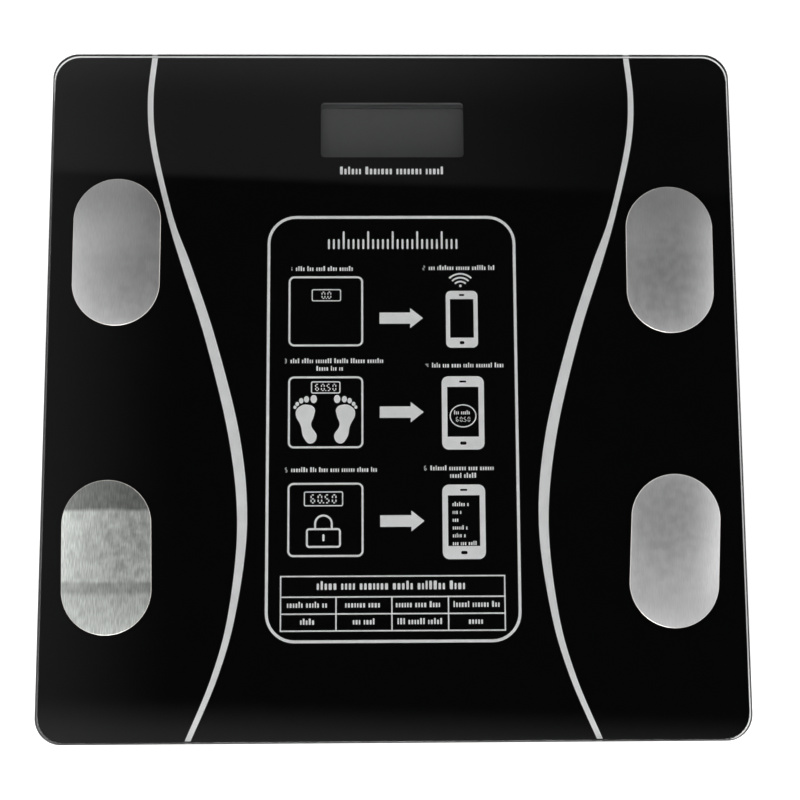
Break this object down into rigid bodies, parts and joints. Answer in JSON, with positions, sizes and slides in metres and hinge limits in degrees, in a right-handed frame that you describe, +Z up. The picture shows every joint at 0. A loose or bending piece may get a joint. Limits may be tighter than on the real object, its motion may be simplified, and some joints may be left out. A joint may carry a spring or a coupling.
{
  "type": "bathroom scale",
  "caption": "Flat square electronic bathroom scale: black-printed glass platform with steel foot pads and a display window, on a thin tray with sprung feet and a battery bay.",
  "frame": {"origin": "on the floor under the middle of the glass platform", "axes": "+Z up, +Y towards the display edge, +X to the right for a user who stands on the scale and faces the display"},
  "size_m": [0.28, 0.28, 0.0246],
  "materials": {
    "clear_glass": "polished tempered glass, faint green",
    "black_print": "black screen print under the glass",
    "electrode_steel": "brushed lengthwise",
    "clear_tape": "double-sided tape",
    "plated_brass": "nickel-plated brass",
    "zinc_steel": "zinc-plated",
    "black_foam": "closed-cell foam",
    "grey_foam": "closed-cell foam light seal",
    "tray_plastic": "black, fine spark texture",
    "label_film": "silver-grey film",
    "grey_rubber": "matt, moulded",
    "cell_steel": "nickel-plated, stamped",
    "bracket_plastic": "natural white, moulded",
    "gauge_foil": "amber carrier film with metal foil",
    "white_sealant": "cured silicone",
    "battery_wrap": "printed sleeve on a steel can",
    "nickel_contact": "nickel-plated spring steel",
    "board_green": "solder mask",
    "epoxy_black": "moulded epoxy",
    "can_metal": "drawn can",
    "capacitor_sleeve": "shrink sleeve",
    "connector_white": "moulded nylon",
    "backlight_white": "light guide",
    "display_glass": "thin soda glass",
    "polariser_grey": "dark negative display film",
    "tinned_pins": "tinned",
    "wire_grey": "PVC insulation",
    "wire_white": "PVC insulation",
    "wire_red": "PVC insulation",
    "wire_black": "PVC insulation"
  },
  "bodies": {
    "platform": {"glass_platform": "clear_glass", "printed_film": "black_print", "electrode_tape": "clear_tape", "contact_studs": "plated_brass", "contact_nuts": "zinc_steel", "foam_tape": "black_foam", "base_tray": "tray_plastic", "rating_label": "label_film", "cell_screws": "zinc_steel", "strain_gauges": "gauge_foil", "gauge_sealant": "white_sealant", "battery_front": "battery_wrap", "battery_rear": "battery_wrap", "terminal_positive": "nickel_contact", "terminal_negative": "nickel_contact", "terminal_bridge": "nickel_contact", "battery_springs": "nickel_contact", "circuit_board": "board_green", "board_screws": "zinc_steel", "controller_chip": "epoxy_black", "wireless_module": "board_green", "wireless_shield": "can_metal", "crystal": "can_metal", "capacitors": "capacitor_sleeve", "wire_connectors": "connector_white", "backlight": "backlight_white", "lcd_glass": "display_glass", "lcd_polariser": "polariser_grey", "lcd_pins": "tinned_pins", "display_frame": "tray_plastic", "display_gasket": "grey_foam", "push_switch": "epoxy_black", "cell_wires": "wire_grey", "electrode_wires": "wire_white", "battery_wire_positive": "wire_red", "battery_wire_negative": "wire_black", "electrode_rear_left": "electrode_steel", "load_cell_rear_left": "cell_steel", "cell_bracket_rear_left": "bracket_plastic", "electrode_rear_right": "electrode_steel", "load_cell_rear_right": "cell_steel", "cell_bracket_rear_right": "bracket_plastic", "electrode_front_left": "electrode_steel", "load_cell_front_left": "cell_steel", "cell_bracket_front_left": "bracket_plastic", "electrode_front_right": "electrode_steel", "load_cell_front_right": "cell_steel", "cell_bracket_front_right": "bracket_plastic"},
    "foot_assembly_rear_left": {"foot_rear_left": "tray_plastic", "foot_pad_rear_left": "grey_rubber"},
    "foot_assembly_rear_right": {"foot_rear_right": "tray_plastic", "foot_pad_rear_right": "grey_rubber"},
    "foot_assembly_front_left": {"foot_front_left": "tray_plastic", "foot_pad_front_left": "grey_rubber"},
    "foot_assembly_front_right": {"foot_front_right": "tray_plastic", "foot_pad_front_right": "grey_rubber"},
    "door": {"battery_door": "tray_plastic"},
    "button": {"unit_button": "tray_plastic", "switch_plunger": "connector_white"}
  },
  "joints": [
    {"name": "foot_travel_rear_left", "type": "slide", "parent": "platform", "child": "foot_assembly_rear_left", "axis": [0, 0, 1], "range_m": [0, 0.0005], "stiffness_N_per_m": 3000, "springref_m": -0.002, "deforming": ["load_cell_rear_left"]},
    {"name": "foot_travel_rear_right", "type": "slide", "parent": "platform", "child": "foot_assembly_rear_right", "axis": [0, 0, 1], "range_m": [0, 0.0005], "stiffness_N_per_m": 3000, "springref_m": -0.002, "deforming": ["load_cell_rear_right"]},
    {"name": "foot_travel_front_left", "type": "slide", "parent": "platform", "child": "foot_assembly_front_left", "axis": [0, 0, 1], "range_m": [0, 0.0005], "stiffness_N_per_m": 3000, "springref_m": -0.002, "deforming": ["load_cell_front_left"]},
    {"name": "foot_travel_front_right", "type": "slide", "parent": "platform", "child": "foot_assembly_front_right", "axis": [0, 0, 1], "range_m": [0, 0.0005], "stiffness_N_per_m": 3000, "springref_m": -0.002, "deforming": ["load_cell_front_right"]},
    {"name": "battery_door_hinge", "type": "hinge", "parent": "platform", "child": "door", "pos_m": [-0.0288, 0.044, 0.0044], "axis": [0, 1, 0], "range_deg": [0, 60]},
    {"name": "unit_button_press", "type": "slide", "parent": "platform", "child": "button", "axis": [0, 0, 1], "range_m": [0, 0.0004], "stiffness_N_per_m": 400, "springref_m": -0.0006}
  ]
}
